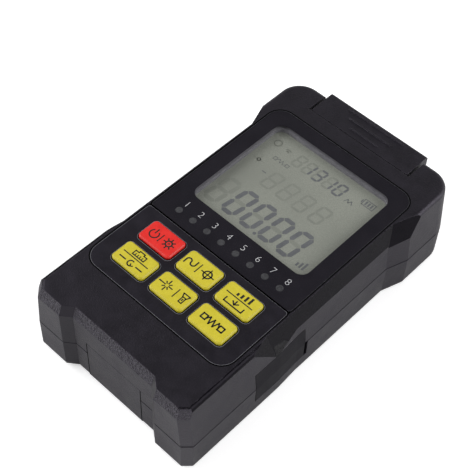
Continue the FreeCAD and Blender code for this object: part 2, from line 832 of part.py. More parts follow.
def switch(name, column, row):
    """A tact switch: square body on the board, round stem under the key."""
    x, y = key_spot(column, row)
    body = slab("switch_" + name, x + " - switch_size / 2", y + " - switch_size / 2",
                x + " + switch_size / 2", y + " + switch_size / 2", "board_z", "switch_tall")
    stem = circle(sketch(body, LEVEL, "board_z + switch_tall"), x, y, "stem_radius")
    pad(body, stem, "flange_z - button_stroke - stem_gap - board_z - switch_tall")


# ---------------------------------------------------------------- cells and contacts
def battery():
    for label, side, start in (("cell_1", "", "bay_low_y + contact_thick + spring_tall"),
                               ("cell_2", "-", "bay_top_y - contact_thick - spring_tall")):
        body = turned(label, [
            ("0", "0"), ("0", "cell_radius"), ("cell_length - nub_tall", "cell_radius"),
            ("cell_length - nub_tall", "nub_radius"), ("cell_length", "nub_radius"),
            ("cell_length", "0")])
        place(body, side + "cell_x", start, "cell_z", (0, 0, 1), -90 if side else 90)
    block("contact_bridge", "-bay_half + cell_gap", "bay_low_y", "floor_wall + door_gap * 2",
          "2 * (bay_half - cell_gap)", "contact_thick", "contact_wide")
    for label, side in (("contact_plus", 1), ("contact_minus", -1)):
        left = "%d * cell_x - contact_wide / 2" % side
        block(label, left, "bay_top_y - contact_thick", "floor_wall + door_gap * 2",
              "contact_wide", "contact_thick", "contact_wide")
    spring("spring_1", "cell_x", "bay_low_y + contact_thick", 90)
    spring("spring_2", "-cell_x", "bay_top_y - contact_thick", -90)


def spring(label, x, y, angle):
    """A compressed conical contact spring as one closed cone."""
    body = turned(label, [("0", "0"), ("0", "spring_wide"),
                          ("spring_tall", "nub_radius"), ("spring_tall", "0")])
    place(body, x, y, "cell_z", (0, 0, 1), angle)


# ---------------------------------------------------------------- network jack and cover
def network_jack():
    """Modular socket that opens to the right-hand side, with the latch step below its mouth."""
    low = "jack_y - jack_wide / 2"
    body = slab("network_jack", "jack_inner_x", low, "cover_seat_x",
                "jack_y + jack_wide / 2", "jack_low_z", "jack_tall")
    mouth = sketch(body, ALONG_X, "cover_seat_x")
    polygon(mouth, [
        ("jack_y - socket_wide / 2", "socket_z"), ("jack_y - latch_wide / 2", "socket_z"),
        ("jack_y - latch_wide / 2", "socket_z - latch_tall"),
        ("jack_y + latch_wide / 2", "socket_z - latch_tall"),
        ("jack_y + latch_wide / 2", "socket_z"), ("jack_y + socket_wide / 2", "socket_z"),
        ("jack_y + socket_wide / 2", "socket_z + socket_tall"),
        ("jack_y - socket_wide / 2", "socket_z + socket_tall")])
    pocket(body, mouth, "jack_deep - jack_back")


def cover_plan(body, height, lean):
    """The cover in plan, with its outer side on the case wall that stands out by lean."""
    wide, waist = "wide_half + " + lean, "waist_half + " + lean
    return polygon(sketch(body, LEVEL, height), [
        ("cover_seat_x + cover_gap", "cover_low_y + cover_gap"),
        (wide, "cover_low_y + cover_gap"), (wide, "wide_stop_y"),
        (waist, "waist_start_y"), (waist, "cover_top_y - cover_gap"),
        ("cover_seat_x + cover_gap", "cover_top_y - cover_gap")])


def side_cover():
    """Rubber cover of the jack: flat inside, following both shells' walls outside."""
    body = new_body("side_cover")
    plan = cover_plan(body, "cover_low_z + cover_gap", "lean_out")
    pad(body, plan, "seam_z - cover_low_z - cover_gap")
    seam = cover_plan(body, "seam_z", "lean_out")
    loft(body, "AdditiveLoft", seam, cover_plan(body, "cover_top_z - cover_gap", "cover_lean"))


# ---------------------------------------------------------------- port end
def port_x(number):
    return "%d * port_pitch" % number


def port_block():
    """Moulded end insert that carries the optical ports and the torch lamp."""
    body = new_body("port_block")
    front = sketch(body, ALONG_Y, "-block_y")
    rectangle(front, "-notch_half + jack_gap", "floor_wall", "notch_half - jack_gap", "ledge_z")
    pad(body, front, "block_thick")
    holes = sketch(body, ALONG_Y, "-block_y")
    circle(holes, port_x(-1), "port_z", "meter_barrel")
    circle(holes, port_x(0), "port_z", "laser_barrel")
    circle(holes, port_x(1), "port_z", "torch_radius + torch_gap")
    pocket(body, holes, "block_thick", Reversed=True)


def port_tube(label, number, barrel, flange, nose):
    """A ferrule port: barrel through the block, flange on its face, nose with the bore."""
    body = turned(label, [
        ("-block_thick - barrel_in", "bore_radius"), ("-block_thick - barrel_in", barrel),
        ("0", barrel), ("0", flange), ("flange_y", flange), ("flange_y", nose),
        ("nose_out", nose), ("nose_out", "bore_radius")])
    place(body, port_x(number), "block_y", "port_z", (0, 0, 1), 90)


def ports():
    port_block()
    port_tube("meter_port", -1, "meter_barrel", "meter_flange", "meter_nose")
    port_tube("laser_port", 0, "laser_barrel", "laser_barrel + flange_y", "laser_nose")
    can, rim = "meter_nose - flange_y / 2", "meter_barrel - flange_y / 2"
    detector = turned("photodiode", [
        ("0", "0"), ("0", rim), ("-contact_thick", rim),
        ("-contact_thick", can), ("-detector_deep", can), ("-detector_deep", "0")])
    place(detector, port_x(-1), "block_inner_y - barrel_in", "port_z", (0, 0, 1), 90)
    laser = turned("laser_module", [("0", "0"), ("0", "laser_barrel"),
                                    ("-laser_deep", "laser_barrel"), ("-laser_deep", "0")])
    place(laser, port_x(0), "block_inner_y - barrel_in", "port_z", (0, 0, 1), 90)
    torch_lamp()


def torch_lamp():
    """A domed lamp with a rim behind the port block."""
    dome = []
    for step in range(DOME_STEPS + 1):
        turn = math.radians(90 * step / DOME_STEPS)
        dome.append(("torch_radius * %.4f" % math.sin(turn), "torch_radius * %.4f" % math.cos(turn)))
    rim = "torch_radius + flange_y / 2"
    turned("torch_lamp", [("-block_thick - flange_y", "0"), ("-block_thick - flange_y", rim),
                          ("-block_thick", rim), ("-block_thick", "torch_radius")] + dome)
    place(subparts[-1], port_x(1), "block_y", "port_z", (0, 0, 1), 90)


def port_flap():
    """Dust flap: top plate flush with the front, end wall, and a hinge barrel at the back edge."""
    body = new_body("port_flap")
    profile = polygon(sketch(body, ALONG_X, "0"), [
        ("flap_end", "hinge_z"), ("flap_end", "case_depth"),
        ("flap_inner_y + flap_gap", "case_depth"),
        ("flap_inner_y + flap_gap", "case_depth - flap_thick"),
        ("flap_end - flap_end_thick", "case_depth - flap_thick"),
        ("flap_end - flap_end_thick", "hinge_z")])
    pad(body, profile, "2 * flap_half", Midplane=True)
    end, top = size("flap_end"), size("case_depth")
    dress(body, "Fillet", "flap_thick / 2", lambda edge: level_at(edge, top)
          and abs(edge.BoundBox.YMin - end) < 0.01)
    barrel = circle(sketch(body, ALONG_X, "0"), "hinge_y", "hinge_z", "hinge_radius")
    pad(body, barrel, "2 * flap_half", Midplane=True)
    bore = circle(sketch(body, ALONG_X, "0"), "hinge_y", "hinge_z", "pin_radius + pin_clear")
    pocket(body, bore, "4 * flap_half", Midplane=True)
    ridges = sketch(body, LEVEL, "case_depth - flap_gap")
    for number in range(FLAP_RIDGES):
        y = "flap_end - ridge_in - %d * ridge_pitch" % number
        half = "(ridge_half - %d * ridge_less)" % number
        rectangle(ridges, "-" + half, y, half, y + " + ridge_wide")
    pad(body, ridges, "2 * flap_gap")


def hinge_pin():
    body = turned("hinge_pin", [
        ("-notch_half - pin_seat", "0"), ("-notch_half - pin_seat", "pin_radius"),
        ("notch_half + pin_seat", "pin_radius"), ("notch_half + pin_seat", "0")])
    place(body, "0", "hinge_y", "hinge_z")


def case_screws():
    """Four screws from the back into the front shell's bosses; their threads are left off."""
    reach = "seam_z + screw_bite - screw_sink - screw_radius"
    for number, (x, y) in enumerate(BOSSES, start=1):
        body = turned("case_screw_%d" % number, [
            ("0", "0"), ("0", "screw_head"), ("screw_head_tall", "screw_head"),
            ("screw_head_tall", "screw_radius"), (reach, "screw_radius"), (reach, "0")])
        place(body, x, y, "screw_sink", (0, 1, 0), -90)


# ---------------------------------------------------------------- build, check and write
front_shell()
rear_shell()
battery_door()
display_lens()
keypad_panel()
for name, (column, row) in zip(KEY_NAMES, KEY_GRID):
    button(name, column, row)
for number in range(LAMPS):
    indicator_lamp(number)
electronics()
battery()
network_jack()
side_cover()
ports()
port_flap()
hinge_pin()
case_screws()
doc.recompute()

for item in doc.Objects:
    if "Invalid" in item.State or "Error" in item.State:
        raise ValueError("%s failed to build" % item.Label)
for part in subparts:
    if part.Shape.isNull() or not part.Shape.isValid():
        raise ValueError("%s has no valid shape" % part.Label)

os.makedirs("parts", exist_ok=True)
for part in subparts:
    part.Shape.exportStep("parts/%s.step" % part.Label)
print("%d sub-parts written" % len(subparts))
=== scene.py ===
import math

import bmesh
import bpy
from mathutils import Matrix, Vector


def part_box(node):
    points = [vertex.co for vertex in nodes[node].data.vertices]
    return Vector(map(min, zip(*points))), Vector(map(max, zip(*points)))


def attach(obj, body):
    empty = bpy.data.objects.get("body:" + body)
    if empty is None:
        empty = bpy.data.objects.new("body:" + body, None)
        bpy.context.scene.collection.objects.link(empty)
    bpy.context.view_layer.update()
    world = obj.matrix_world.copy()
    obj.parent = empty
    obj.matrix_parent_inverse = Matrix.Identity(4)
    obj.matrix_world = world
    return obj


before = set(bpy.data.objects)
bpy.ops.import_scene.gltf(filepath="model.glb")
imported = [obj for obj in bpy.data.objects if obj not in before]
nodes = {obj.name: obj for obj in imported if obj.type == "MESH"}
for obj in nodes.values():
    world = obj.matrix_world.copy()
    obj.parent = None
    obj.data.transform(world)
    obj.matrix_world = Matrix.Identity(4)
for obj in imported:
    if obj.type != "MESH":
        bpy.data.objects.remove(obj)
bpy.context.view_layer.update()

# ------------------------------------------------------------------ camera
# A long lens looks down on the meter from beyond its lower right-hand corner, so that the
# front face, the lower end and the side with the network socket all show.
camera_right = Vector((0.72447, 0.68859, 0.03134))
camera_up = Vector((-0.55816, 0.55935, 0.61285))
camera_back = camera_right.cross(camera_up)
camera_turn = Matrix((camera_right, camera_up, camera_back)).transposed().to_4x4()
camera_data = bpy.data.cameras.new("camera")
camera_data.lens = 89.47
camera_data.sensor_width = 36
camera = bpy.data.objects.new("camera", camera_data)
camera_spot = (0.14184, -0.16993, 0.31255)
camera.matrix_world = Matrix.Translation(camera_spot) @ camera_turn
bpy.context.scene.collection.objects.link(camera)
bpy.context.scene.camera = camera

# ------------------------------------------------------------------ case shells
# Two half shells of black ABS, injection moulded in tools with a spark-eroded texture, so the
# faces are matt with a fine pebble; the sloping strip along the lower end is etched coarser.
# Four self-tapping screws from the back hold the halves together.
mm = 0.001


def linear(code):
    """A written sRGB hex colour as the linear colour that a shader takes."""
    channels = [int(code[at:at + 2], 16) / 255 for at in (1, 3, 5)]
    lit = [c / 12.92 if c <= 0.04045 else ((c + 0.055) / 1.055) ** 2.4 for c in channels]
    return (*lit, 1)


def add_node(tree, kind, inputs=None, **settings):
    """Add a node; inputs holds a value or a feeding socket for each of its input sockets."""
    node = tree.nodes.new(kind)
    for name, setting in settings.items():
        setattr(node, name, setting)
    for name, value in (inputs or {}).items():
        if isinstance(value, bpy.types.NodeSocket):
            tree.links.new(value, node.inputs[name])
        else:
            node.inputs[name].default_value = value
    return node


def start_finish(name, shader_values):
    """A new material's node tree, with its Principled shader's own sockets set."""
    material = bpy.data.materials.new(name)
    material.use_nodes = True
    shader = material.node_tree.nodes["Principled BSDF"]
    for socket, value in shader_values.items():
        shader.inputs[socket].default_value = value
    return material, material.node_tree, shader


def moulded(name, main, pale, roughness, grain, relief, cloud=5.0, level=0.5, edge=0.0,
            cast=(1, 1, 1, 1)):
    """A moulded polymer: cloudy colour, pebbled skin of the given grain in mm, uneven gloss.

    Its sharp edges take the light as if they were rounded by edge, in mm, and cast tints its sheen.
    """
    material, tree, shader = start_finish(name, {
        "IOR": 1.5, "Specular IOR Level": level, "Specular Tint": cast})
    place = add_node(tree, "ShaderNodeTexCoord").outputs["Object"]
    clouds = add_node(tree, "ShaderNodeTexNoise", {
        "Vector": place, "Scale": 1 / (cloud * mm), "Detail": 3, "Roughness": 0.6})
    pebble = add_node(tree, "ShaderNodeTexNoise", {
        "Vector": place, "Scale": 1 / (grain * mm), "Detail": 2, "Roughness": 0.5})
    fleck = add_node(tree, "ShaderNodeMath", {0: clouds.outputs["Fac"], 1: pebble.outputs["Fac"]},
                     operation="MULTIPLY")
    shade = add_node(tree, "ShaderNodeMapRange", {
        "Value": fleck.outputs[0], "From Min": 0.14, "From Max": 0.36})
    colour = add_node(tree, "ShaderNodeMix", {
        0: shade.outputs[0], 6: linear(main), 7: linear(pale)}, data_type="RGBA")
    gloss = add_node(tree, "ShaderNodeMapRange", {
        "Value": clouds.outputs["Fac"], "From Min": 0.3, "From Max": 0.7,
        "To Min": roughness - 0.04, "To Max": roughness + 0.05})
    bump = add_node(tree, "ShaderNodeBump", {
        "Height": pebble.outputs["Fac"], "Distance": relief * mm, "Strength": 1})
    tree.links.new(colour.outputs[2], shader.inputs["Base Color"])
    if edge:
        worn = add_node(tree, "ShaderNodeBevel", {"Radius": edge * mm}, samples=6)
        tree.links.new(worn.outputs[0], bump.inputs["Normal"])
    tree.links.new(gloss.outputs[0], shader.inputs["Roughness"])
    tree.links.new(bump.outputs[0], shader.inputs["Normal"])
    return material


def clad(material, *names):
    """Give a material to CAD nodes."""
    for name in names:
        nodes[name].data.materials.clear()
        nodes[name].data.materials.append(material)


# Spark-eroded ABS: a real texture of 0.1 to 0.2 mm is drawn at nearly half a millimetre, so that
# it shows; the strip's etching is half as coarse again and much deeper.
black_cast = (1.03, 0.95, 1.14, 1)
case_abs = moulded("case_black_abs_spark_eroded", "#09080C", "#141218", 0.42, 0.42, 0.11, edge=0.3,
                   cast=black_cast)
tree = case_abs.node_tree
place = add_node(tree, "ShaderNodeTexCoord").outputs["Object"]
# The strip is every face that slopes down to the lower end, neither upright nor level.
facing = add_node(tree, "ShaderNodeNewGeometry").outputs["True Normal"]
slope = add_node(tree, "ShaderNodeSeparateXYZ", {"Vector": facing})
leaning = add_node(tree, "ShaderNodeMapRange", {
    "Value": slope.outputs["Z"], "From Min": 0.18, "From Max": 0.3})
endward = add_node(tree, "ShaderNodeMapRange", {
    "Value": slope.outputs["Y"], "From Min": -0.3, "From Max": -0.5})
off_level = add_node(tree, "ShaderNodeMapRange", {
    "Value": slope.outputs["Z"], "From Min": 0.75, "From Max": 0.65})
strip = leaning
for limit in (endward, off_level):
    strip = add_node(tree, "ShaderNodeMath", {0: strip.outputs[0], 1: limit.outputs[0]},
                     operation="MULTIPLY")
etching = add_node(tree, "ShaderNodeTexNoise", {
    "Vector": place, "Scale": 1 / (0.65 * mm), "Detail": 1})
depth = add_node(tree, "ShaderNodeMath", {0: strip.outputs[0], 1: etching.outputs["Fac"]},
                 operation="MULTIPLY")
old_bump = tree.nodes["Bump"]
bump = add_node(tree, "ShaderNodeBump", {
    "Height": depth.outputs[0], "Distance": 1.3 * mm, "Strength": 1,
    "Normal": old_bump.outputs[0]})
shader = tree.nodes["Principled BSDF"]
tree.links.new(bump.outputs[0], shader.inputs["Normal"])
# The crests of the strip's etching are painted paler, as highlights on the coarse grain.
dye = shader.inputs["Base Color"].links[0].from_socket
crest_highlight = add_node(tree, "ShaderNodeMix", {0: depth.outputs[0], 6: dye, 7: linear("#38363C")},
                  data_type="RGBA")
tree.links.new(crest_highlight.outputs[2], shader.inputs["Base Color"])
clad(case_abs, "front_shell", "rear_shell", "battery_door", "port_flap")


def add_piece(shape, name, material, body):
    """Turn a bmesh drawn in mm into a finished piece that rides on a body."""
    weld = 0.0002
    bmesh.ops.remove_doubles(shape, verts=shape.verts[:], dist=weld)
    bmesh.ops.recalc_face_normals(shape, faces=shape.faces[:])
    bmesh.ops.scale(shape, vec=(mm, mm, mm), verts=shape.verts[:])
    mesh = bpy.data.meshes.new(name)
    shape.to_mesh(mesh)
    shape.free()
    mesh.materials.append(material)
    piece = bpy.data.objects.new(name, mesh)
    bpy.context.scene.collection.objects.link(piece)
    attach(piece, body)


def shell_copy(*names):
    """A merged copy of one or both shells' meshes, in mm."""
    weld = 1e-7
    shape = bmesh.new()
    for name in names:
        shape.from_mesh(nodes[name].data)
    bmesh.ops.remove_doubles(shape, verts=shape.verts[:], dist=weld)
    bmesh.ops.scale(shape, vec=(1 / mm, 1 / mm, 1 / mm), verts=shape.verts[:])
    return shape


def keep_faces(shape, wanted):
    """Delete every face that isn't wanted, and thicken what is left outwards by a hair."""
    skin = 0.03
    unwanted = [face for face in shape.faces if not wanted(face)]
    bmesh.ops.delete(shape, geom=unwanted, context="FACES")
    grown = bmesh.ops.extrude_face_region(shape, geom=shape.faces[:])
    shape.normal_update()
    for vert in grown["geom"]:
        if isinstance(vert, bmesh.types.BMVert):
            vert.co += vert.normal * skin


# The grip facets on both sides and the rounded edges over them are left smooth by the tool. Their
# reflection is dimmed as painted shade, so that they are darker than the pebbled walls.
grips_end = 42


def grip_facet(face):
    """Whether a face is a grip facet: it looks up and sideways, and lies short of the port end."""
    normal = face.normal
    return (normal.z > 0.14 and abs(normal.x) > 0.3 and normal.y > -0.4
            and face.calc_center_median().y < grips_end)


facet_abs_painted_shade = moulded("facet_black_abs_smooth_painted_shade", "#09080C", "#0F0D12", 0.28, 0.42, 0.03, level=0.08,
                    cast=black_cast)
facets = shell_copy("front_shell")
keep_faces(facets, grip_facet)
add_piece(facets, "grip_facets", facet_abs_painted_shade, "case")

# The slanted flanks of the hollow in the lower end are polished too, so that they leave the tool.
# Their reflection is dimmed as painted shade, the shade that gathers in the hollow.
hollow_start = -56


def hollow_flank(face):
    """Whether a face is one of the two flanks, which turn inwards and towards the lower end."""
    middle, normal = face.calc_center_median(), face.normal
    return (middle.y < hollow_start and normal.y < -0.3 and abs(normal.x) > 0.3
            and normal.x * middle.x < 0 and normal.z < 0.3)


flank_abs_painted_shade = moulded("flank_black_abs_smooth_painted_shade", "#09080C", "#0F0D12", 0.34, 0.42, 0.03, level=0.33,
                    cast=black_cast)
flanks = shell_copy("front_shell", "rear_shell")
keep_faces(flanks, hollow_flank)
add_piece(flanks, "hollow_flanks", flank_abs_painted_shade, "case")

# Where the halves meet, and down both sides of the battery door, the joint shows as a dark line.
joint_black = moulded("joint_black_abs_in_shade", "#040405", "#060607", 0.8, 0.42, 0.01, level=0.05)
seam_z = 14.0
joint_low, joint_high = seam_z + 0.01, seam_z + 0.24
wall_half, head_start, lower_end = 31, 50, -58.5
joint = shell_copy("front_shell")
for height, outer in ((joint_high, 1), (joint_low, -1)):
    bmesh.ops.bisect_plane(joint, geom=joint.verts[:] + joint.edges[:] + joint.faces[:],
                           plane_co=(0, 0, height), plane_no=(0, 0, outer), clear_outer=True)


def outer_wall(face):
    """Whether a face lies on the case's outer wall, away from the port end."""
    middle, normal = face.calc_center_median(), face.normal
    sides = abs(middle.x) > wall_half and normal.x * middle.x > 0 and middle.y < head_start
    return sides or (middle.y < lower_end and normal.y < -0.1)


keep_faces(joint, outer_wall)
add_piece(joint, "case_joint_line", joint_black, "case")

door_low, door_high = (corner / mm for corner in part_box("battery_door"))
tongue_out, door_foot, door_gap, line_wide, line_deep = 0.6, 2, 0.24, 0.34, 0.03
door_half, door_top = door_high.x - tongue_out, door_high.z
door_lines = bmesh.new()
for side in (-1, 1):
    spot = Matrix.Translation((side * (door_half + door_gap / 2), door_low.y,
                               (door_top + door_foot) / 2))
    bmesh.ops.create_cube(door_lines, size=1, matrix=spot @ Matrix.Diagonal(
        (line_wide, line_deep, door_top - door_foot, 1)))
add_piece(door_lines, "door_joint_lines", joint_black, "case")

# ------------------------------------------------------------------ display window
# A clear cast-acrylic plate drops into a seat in the front shell and is held by tape. Its back
# is screen printed black, with a window left clear for the display and eight round ones for the
# indicators. A grey foam ring closes the gap between the plate and the display.
lens_low, lens_high = (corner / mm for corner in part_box("display_lens"))
glass_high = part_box("display_glass")[1] / mm
lamp_boxes = [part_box("indicator_lamp_%d" % number) for number in range(1, 9)]
lamp_spots = [(low + high) / 2 / mm for low, high in lamp_boxes]
window_low = Vector((-23.4, -3.5))
window_high = Vector((23.4, 38.9))
window_corner = 3.2


def rounded_outline(shape, low, high, corners):
    """Add a rectangle's outline with a radius for each corner.

    The corners go round from low left to low right, high right and high left.
    """
    middle, span = (low + high) / 2, high - low
    fitted = Matrix.Translation((middle.x, middle.y, 0)) @ Matrix.Diagonal(
        (span.x / 2, span.y / 2, 1, 1))
    made = bmesh.ops.create_grid(shape, x_segments=1, y_segments=1, size=1, matrix=fitted)
    bmesh.ops.delete(shape, geom=made["verts"][0].link_faces[:], context="FACES_ONLY")
    for vert in made["verts"]:
        right, upper = vert.co.x > middle.x, vert.co.y > middle.y
        radius = corners[(2 if right else 3) if upper else (1 if right else 0)]
        bmesh.ops.bevel(shape, geom=[vert], offset=radius, offset_type="OFFSET", segments=8,
                        profile=0.5, material=-1, affect="VERTICES")


def fill_and_thicken(shape, base, thick):
    """Fill the flat outlines of a bmesh, holes left open, and give the plate its thickness."""
    bmesh.ops.triangle_fill(shape, use_beauty=True, use_dissolve=False, edges=shape.edges[:],
                            normal=(0, 0, 1))
    bmesh.ops.translate(shape, vec=(0, 0, base), verts=shape.verts[:])
    grown = bmesh.ops.extrude_face_region(shape, geom=shape.faces[:])
    raised = [item for item in grown["geom"] if isinstance(item, bmesh.types.BMVert)]
    bmesh.ops.translate(shape, vec=(0, 0, thick), verts=raised)


def plate_outline(shape, inset, corners):
    """Add the window plate's outline, moved inwards by an inset in mm."""
    step = Vector((inset, inset))
    rounded_outline(shape, lens_low.xy + step, lens_high.xy - step, corners)


print_deep, print_thick, lamp_window = 0.06, 0.03, 1.2
print_z = lens_high.z - print_deep
print_plate = bmesh.new()
plate_outline(print_plate, 0.22, (1.0, 1.0, 5.3, 5.3))
rounded_outline(print_plate, window_low, window_high, (window_corner,) * 4)
for spot in lamp_spots:
    bmesh.ops.create_circle(print_plate, segments=24, radius=lamp_window,
                            matrix=Matrix.Translation((spot.x, spot.y, 0)))
fill_and_thicken(print_plate, print_z - print_thick, print_thick)
# Screen ink seen through polished acrylic: near black, even, with a soft sheen.
window_ink = moulded("window_screen_ink_black", "#0D0C12", "#131118", 0.36, 0.3, 0.004, cloud=9.0,
                     cast=black_cast)
add_piece(print_plate, "lens_print", window_ink, "case")

# The print runs down the plate's edge as a skirt.
skirt_lift, skirt_short = 0.02, 0.2
skirt = bmesh.new()
plate_outline(skirt, 0.06, (1.1, 1.1, 5.4, 5.4))
plate_outline(skirt, 0.6, (0.8, 0.8, 5.0, 5.0))
fill_and_thicken(skirt, lens_low.z + skirt_lift, print_z - lens_low.z - skirt_short)
add_piece(skirt, "lens_edge_print", window_ink, "case")

seal_corner, seal_play = 3.1, 0.03
gasket_rim = Vector((0.35, 0.35))
gasket = bmesh.new()
rounded_outline(gasket, window_low - gasket_rim, window_high + gasket_rim, (seal_corner,) * 4)
rounded_outline(gasket, window_low, window_high, (window_corner,) * 4)
fill_and_thicken(gasket, glass_high.z + seal_play, lens_low.z - glass_high.z - 2 * seal_play)
# Closed-cell foam: mid grey and dull, with cut cells of a third of a millimetre.
foam = moulded("gasket_grey_foam", "#7B7A80", "#8C8B90", 0.85, 0.35, 0.06, cloud=3.0, level=0.2)
add_piece(gasket, "window_gasket", foam, "case")

tape_low, tape_high = Vector((-26.0, -6.0)), Vector((26.0, 41.5))
tape_lift, tape_thick = 0.01, 0.03
tape = bmesh.new()
rounded_outline(tape, tape_low, tape_high, (seal_corner,) * 4)
rounded_outline(tape, window_low, window_high, (window_corner,) * 4)
fill_and_thicken(tape, lens_low.z + tape_lift, tape_thick)
add_piece(tape, "window_tape", foam, "case")

# Cast acrylic: clear and polished, with hardly any body of its own.
lens_clear, tree, shader = start_finish("lens_clear_acrylic", {
    "Base Color": linear("#050506"), "IOR": 1.49, "Alpha": 0.06})
place = add_node(tree, "ShaderNodeTexCoord").outputs["Object"]
wipe = add_node(tree, "ShaderNodeTexNoise", {"Vector": place, "Scale": 1 / (12 * mm), "Detail": 4})
haze = add_node(tree, "ShaderNodeMapRange", {
    "Value": wipe.outputs["Fac"], "To Min": 0.03, "To Max": 0.12})
tree.links.new(haze.outputs[0], shader.inputs["Roughness"])
clad(lens_clear, "display_lens")

# ------------------------------------------------------------------ liquid crystal display
# A reflective twisted-nematic display: two sheets of glass with a polariser that scatters a
# little, over a grey-green reflector. The driven segments are dark; the others are just visible.
display_face, tree, shader = start_finish("display_polariser_grey_green", {"IOR": 1.5})
place = add_node(tree, "ShaderNodeTexCoord").outputs["Object"]
drift = add_node(tree, "ShaderNodeTexNoise", {
    "Vector": place, "Scale": 1 / (26 * mm), "Detail": 2})
speck = add_node(tree, "ShaderNodeTexNoise", {
    "Vector": place, "Scale": 1 / (0.45 * mm), "Detail": 1})
both = add_node(tree, "ShaderNodeMath", {0: drift.outputs["Fac"], 1: speck.outputs["Fac"]},
                operation="MULTIPLY")
tone = add_node(tree, "ShaderNodeMapRange", {
    "Value": both.outputs[0], "From Min": 0.15, "From Max": 0.35})
colour = add_node(tree, "ShaderNodeMix", {
    0: tone.outputs[0], 6: linear("#92958C"), 7: linear("#9DA096")}, data_type="RGBA")
tree.links.new(colour.outputs[2], shader.inputs["Base Color"])
sheen = add_node(tree, "ShaderNodeMapRange", {
    "Value": drift.outputs["Fac"], "To Min": 0.3, "To Max": 0.42})
tree.links.new(sheen.outputs[0], shader.inputs["Roughness"])
clad(display_face, "display_glass")

# Liquid crystal is a cold grey where it is driven, and hardly darker than the glass where idle.
segment_dark = moulded("display_segment_driven", "#696B6E", "#737578", 0.35, 0.6, 0.002)
segment_faint = moulded("display_segment_idle", "#888B83", "#8E9188", 0.35, 0.6, 0.002)
segment_thick, segment_lift = 0.02, 0.002
segment_z = glass_high.z + segment_thick / 2 + segment_lift
# Shares of a bar's width: the bevel at each corner, and the gap to the next bar.
bevel_share, gap_share = 0.46, 0.25
bars_of = {"0": "abcdef", "1": "bc", "3": "abgcd", "8": "abcdefg"}


def add_segment(shape, centre, length, width, standing, lean):
    """Add one bar of a figure: square ends bevelled to points, sheared over by lean."""
    made = bmesh.ops.create_cube(shape, size=1,
                                 matrix=Matrix.Diagonal((length, width, segment_thick, 1)))
    ends = [edge for vert in made["verts"] for edge in vert.link_edges
            if abs(edge.verts[0].co.z - edge.verts[1].co.z) > segment_thick / 2]
    cut = bmesh.ops.bevel(shape, geom=list(set(ends)), offset=width * bevel_share,
                          offset_type="OFFSET", segments=1, profile=0.5, material=-1,
                          affect="EDGES")
    verts = list({vert for face in cut["faces"] for vert in face.verts})
    turn = Matrix.Rotation(math.pi / 2 if standing else 0, 4, "Z")
    shear = Matrix(((1, lean, 0, 0), (0, 1, 0, 0), (0, 0, 1, 0), (0, 0, 0, 1)))
    bmesh.ops.transform(shape, matrix=shear @ Matrix.Translation((*centre, 0)) @ turn,
                        verts=verts)
    return verts


def add_figure(shape, figure, left, base, wide, tall, line, lean=0.14):
    """Add a seven-segment figure with its lower left corner at (left, base)."""
    x, y, half = wide / 2 - line / 2, tall / 2 - line / 2, tall / 4 - line / 4
    bars = {
        "a": ((0, y), wide - line, False), "d": ((0, -y), wide - line, False),
        "g": ((0, 0), wide - line, False), "b": ((x, half), tall / 2 - line / 2, True),
        "c": ((x, -half), tall / 2 - line / 2, True), "f": ((-x, half), tall / 2 - line / 2, True),
        "e": ((-x, -half), tall / 2 - line / 2, True)}
    verts = []
    for bar in bars_of[figure]:
        centre, length, standing = bars[bar]
        verts += add_segment(shape, centre, length - line * gap_share, line, standing, lean)
    bmesh.ops.translate(shape, vec=(left + wide / 2, base + tall / 2, segment_z), verts=verts)


# Each row of figures has its left edges, and its base, width and height.
reading_lefts, reading_row = (-22.0, -14.3, -6.6, 1.1, 8.8), (0.2, 6.2, 12.4)
middle_lefts, middle_row = (-12.4, -5.7, 1.0, 7.7), (16.3, 4.6, 8.0)
top_lefts, top_row = (-11.2, -6.9, -2.6, 1.7, 6.0), (29.7, 3.5, 5.8)
point_spot, point_radius = (0.2, 0.7), 0.6
driven = bmesh.new()
for left in reading_lefts[1:]:
    add_figure(driven, "0", left, *reading_row, 1.6)
bmesh.ops.create_cone(driven, cap_ends=True, segments=16, radius1=point_radius,
                      radius2=point_radius, depth=segment_thick,
                      matrix=Matrix.Translation((*point_spot, segment_z)))
for figure, left in zip("1310", top_lefts[1:]):
    add_figure(driven, figure, left, *top_row, 0.8)
add_piece(driven, "display_figures", segment_dark, "case")

# The idle figures lie half a segment lower, so that the driven ones cover them.
faint = bmesh.new()
for lefts, row, line in ((reading_lefts, reading_row, 1.5), (middle_lefts, middle_row, 0.8),
                         (top_lefts, top_row, 0.75)):
    for left in lefts:
        add_figure(faint, "8", left, *row, line)
bmesh.ops.translate(faint, vec=(0, 0, -segment_thick / 2), verts=faint.verts[:])
add_piece(faint, "display_idle_figures", segment_faint, "case")

# The display's signs: a battery, two waves, a minus and a level; a ring, a spark and an arch idle.
signs, idle_signs = bmesh.new(), bmesh.new()


def sign_path(shape, points, width=0.28):
    """Add straight bars on the display, joining points in mm."""
    for start, end in zip(points, points[1:]):
        run = Vector(end) - Vector(start)
        middle = (Vector(start) + Vector(end)) / 2
        turn = Matrix.Rotation(math.atan2(run.y, run.x), 4, "Z")
        bmesh.ops.create_cube(shape, size=1, matrix=Matrix.Translation((*middle, segment_z)) @ turn
                              @ Matrix.Diagonal((run.length + width, width, segment_thick, 1)))


def sign_ring(shape, centre, radius, start=0, sweep=360):
    """Add a ring on the display, or part of one, as sixteenths of a turn."""
    part = 360 / 16
    turns = [math.radians(start + step * part) for step in range(int(sweep / part) + 1)]
    sign_path(shape, [(centre[0] + radius * math.cos(turn), centre[1] + radius * math.sin(turn))
                      for turn in turns])


